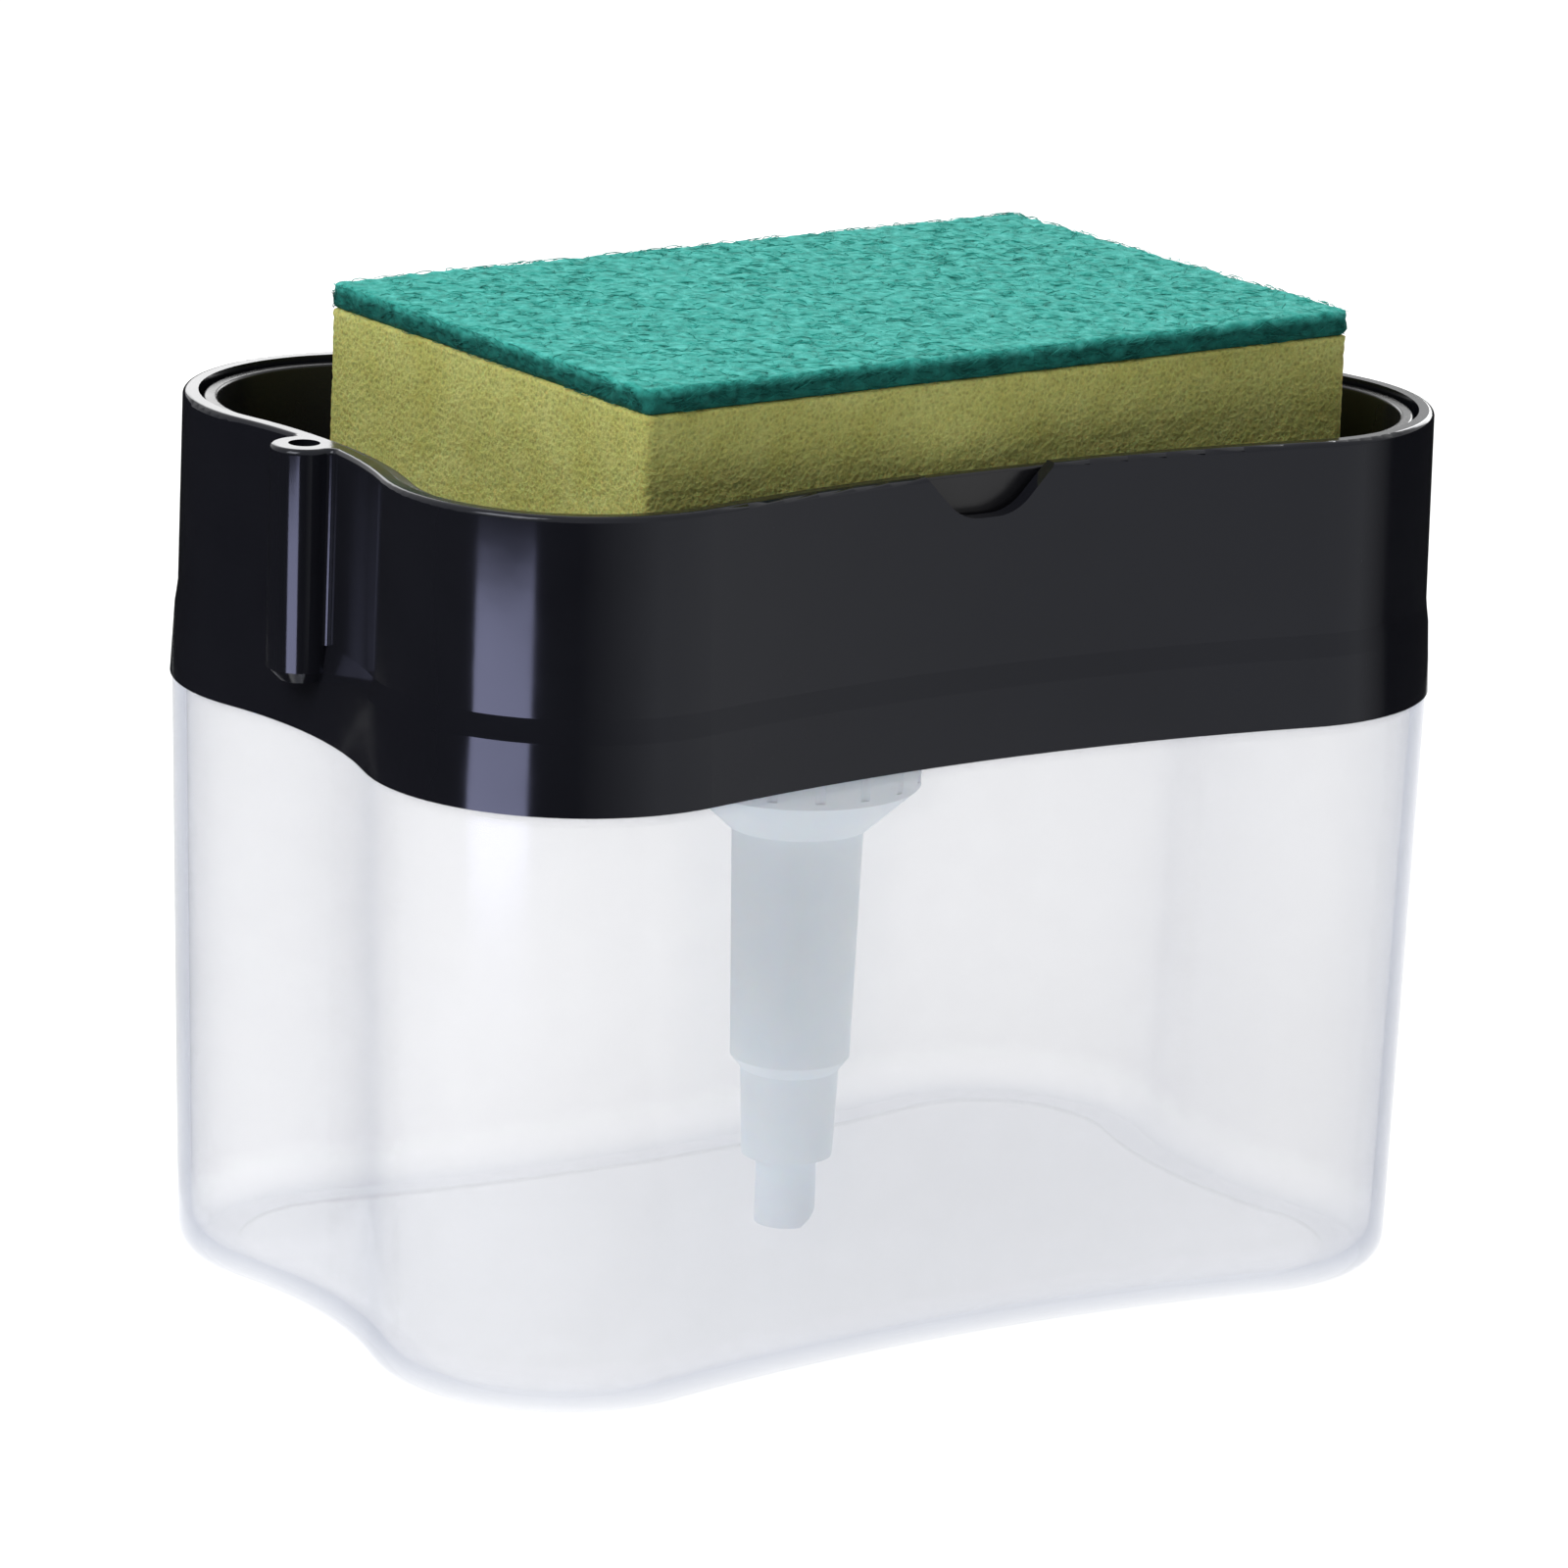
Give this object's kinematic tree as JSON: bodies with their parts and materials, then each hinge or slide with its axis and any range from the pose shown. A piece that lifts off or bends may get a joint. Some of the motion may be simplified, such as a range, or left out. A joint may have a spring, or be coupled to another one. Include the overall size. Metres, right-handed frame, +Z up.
{
  "type": "soap pump caddy",
  "caption": "Counter-top soap reservoir with a black collar, a hand pump under a press-down tray, and a layered sponge resting on it.",
  "frame": {"origin": "middle of the base, on the surface that the caddy stands on", "axes": "+X along the long side, to the right seen from the front; -Y to the front, where the finger notch is; +Z up along the pump"},
  "size_m": [0.1537, 0.1024, 0.1279],
  "materials": {
    "frosted_plastic": "frosted translucent",
    "black_plastic": "gloss",
    "tray_plastic": "semi-gloss",
    "pump_plastic": "natural, slightly translucent",
    "tube_plastic": "natural",
    "seal_plastic": "soft satin",
    "gasket_rubber": "matte",
    "spring_steel": "drawn wire",
    "ball_steel": "polished",
    "sponge_foam": "open-cell foam",
    "scouring_fibre": "bonded fibre"
  },
  "bodies": {
    "tank": {"reservoir_tank": "frosted_plastic"},
    "top": {"collar_shell": "black_plastic", "pump_housing": "pump_plastic", "lock_nut": "pump_plastic", "flange_gasket": "gasket_rubber", "stem_guide": "pump_plastic", "dip_tube": "tube_plastic", "return_spring": "spring_steel"},
    "plunger": {"pump_stem": "pump_plastic", "piston_core": "pump_plastic"},
    "piston": {"piston": "seal_plastic"},
    "tray": {"sponge_tray": "tray_plastic", "outlet_cap": "tray_plastic"},
    "sponge": {"foam_block": "sponge_foam", "scouring_pad": "scouring_fibre"},
    "suction_ball": {"suction_ball": "ball_steel"}
  },
  "joints": [
    {"name": "top_lift", "type": "slide", "parent": "tank", "child": "top", "axis": [0, 0, 1], "range_m": [0, 0.085]},
    {"name": "pump_press", "type": "slide", "parent": "top", "child": "plunger", "axis": [0, 0, -1], "range_m": [0, 0.0115], "stiffness_N_per_m": 600, "springref_m": -0.012, "deforming": ["return_spring"]},
    {"name": "piston_play", "type": "slide", "parent": "plunger", "child": "piston", "axis": [0, 0, 1], "range_m": [0, 0.0012]},
    {"name": "tray_lift", "type": "slide", "parent": "plunger", "child": "tray", "axis": [0, 0, 1], "range_m": [0, 0.03]},
    {"name": "sponge_lift", "type": "slide", "parent": "tray", "child": "sponge", "axis": [0, 0, 1], "range_m": [0, 0.02]},
    {"name": "suction_ball_lift", "type": "slide", "parent": "top", "child": "suction_ball", "axis": [0, 0, 1], "range_m": [0, 0.0016]}
  ]
}
